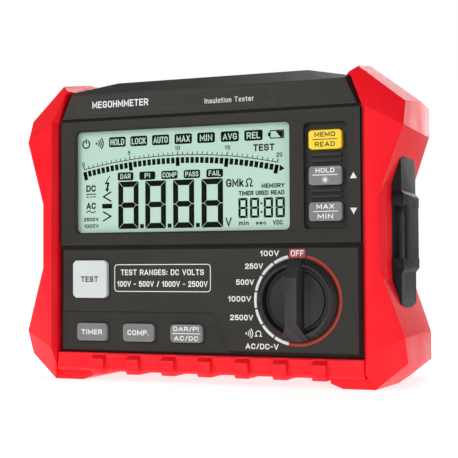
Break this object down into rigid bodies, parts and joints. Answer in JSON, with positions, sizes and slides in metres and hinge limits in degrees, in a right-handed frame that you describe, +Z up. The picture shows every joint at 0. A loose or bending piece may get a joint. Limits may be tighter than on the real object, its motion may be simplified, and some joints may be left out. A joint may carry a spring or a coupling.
{
  "type": "insulation resistance tester",
  "caption": "Carry-type insulation resistance tester with display, range knob, press keys, corner guards, strap lugs, top lead sockets and rear battery bay.",
  "frame": {"origin": "middle of the footprint, on the surface that the instrument stands on", "axes": "+X to the right along the width, -Y out of the front panel towards the user, +Z up"},
  "size_m": [0.202, 0.0919, 0.158],
  "materials": {
    "case_plastic": "fine grained moulding",
    "guard_rubber": "soft satin overmould",
    "lug_plastic": "satin moulding",
    "seal_rubber": "moulded",
    "screw_steel": "zinc plated",
    "spring_steel": "nickel plated",
    "clear_window": "clear",
    "display_glass": "satin green",
    "light_guide": "milky",
    "white_plastic": "moulded",
    "board_laminate": "solder mask",
    "switch_plastic": "moulded",
    "socket_metal": "turned",
    "cell_wrap": "printed sleeve",
    "core_iron": "laminated",
    "copper_wire": "enamelled",
    "potting_resin": "cast",
    "capacitor_can": "sleeved",
    "fuse_glass": "clear",
    "chip_resin": "moulded",
    "knob_plastic": "satin moulding",
    "test_key_plastic": "satin",
    "memory_key_plastic": "satin",
    "grey_key_plastic": "satin"
  },
  "bodies": {
    "housing": {"front_cover": "case_plastic", "rear_cover": "case_plastic", "case_seal": "seal_rubber", "left_guard": "guard_rubber", "right_guard": "guard_rubber", "bottom_grip": "guard_rubber", "left_strap_lug": "lug_plastic", "right_strap_lug": "lug_plastic", "lug_screws": "screw_steel", "case_screws": "screw_steel", "board_screws": "screw_steel", "display_window": "clear_window", "display_glass": "display_glass", "backlight": "light_guide", "display_frame": "white_plastic", "contact_strips": "seal_rubber", "main_board": "board_laminate", "key_switches": "switch_plastic", "range_switch_base": "switch_plastic", "detent_spring": "spring_steel", "socket_block": "lug_plastic", "lead_sockets": "socket_metal", "battery_tray": "case_plastic", "battery_cells": "cell_wrap", "battery_springs": "spring_steel", "battery_contacts": "spring_steel", "transformer_core": "core_iron", "transformer_winding": "copper_wire", "voltage_module": "potting_resin", "filter_capacitors": "capacitor_can", "relays": "white_plastic", "fuse": "fuse_glass", "fuse_clips": "spring_steel", "buzzer": "switch_plastic", "logic_chips": "chip_resin"},
    "knob": {"rotary_knob": "knob_plastic", "knob_shaft": "knob_plastic", "switch_rotor": "switch_plastic"},
    "test_button": {"test_button": "test_key_plastic"},
    "memory_button": {"memory_button": "memory_key_plastic"},
    "hold_button": {"hold_button": "grey_key_plastic"},
    "max_min_button": {"max_min_button": "grey_key_plastic"},
    "timer_button": {"timer_button": "grey_key_plastic"},
    "compare_button": {"compare_button": "grey_key_plastic"},
    "ratio_button": {"ratio_button": "grey_key_plastic"},
    "battery_door": {"battery_door": "case_plastic", "door_screws": "screw_steel"}
  },
  "joints": [
    {"name": "knob_turn", "type": "hinge", "parent": "housing", "child": "knob", "pos_m": [0.049, -0.034, 0.0421], "axis": [0, -1, 0], "range_deg": [0, 157.5]},
    {"name": "test_press", "type": "slide", "parent": "housing", "child": "test_button", "axis": [0, 1, 0], "range_m": [0, 0.0012], "stiffness_N_per_m": 1500},
    {"name": "memory_press", "type": "slide", "parent": "housing", "child": "memory_button", "axis": [0, 1, 0], "range_m": [0, 0.0012], "stiffness_N_per_m": 1500},
    {"name": "hold_press", "type": "slide", "parent": "housing", "child": "hold_button", "axis": [0, 1, 0], "range_m": [0, 0.0012], "stiffness_N_per_m": 1500},
    {"name": "max_min_press", "type": "slide", "parent": "housing", "child": "max_min_button", "axis": [0, 1, 0], "range_m": [0, 0.0012], "stiffness_N_per_m": 1500},
    {"name": "timer_press", "type": "slide", "parent": "housing", "child": "timer_button", "axis": [0, 1, 0], "range_m": [0, 0.0012], "stiffness_N_per_m": 1500},
    {"name": "compare_press", "type": "slide", "parent": "housing", "child": "compare_button", "axis": [0, 1, 0], "range_m": [0, 0.0012], "stiffness_N_per_m": 1500},
    {"name": "ratio_press", "type": "slide", "parent": "housing", "child": "ratio_button", "axis": [0, 1, 0], "range_m": [0, 0.0012], "stiffness_N_per_m": 1500},
    {"name": "battery_door_off", "type": "slide", "parent": "housing", "child": "battery_door", "axis": [0, 1, 0], "range_m": [0, 0.05]}
  ]
}
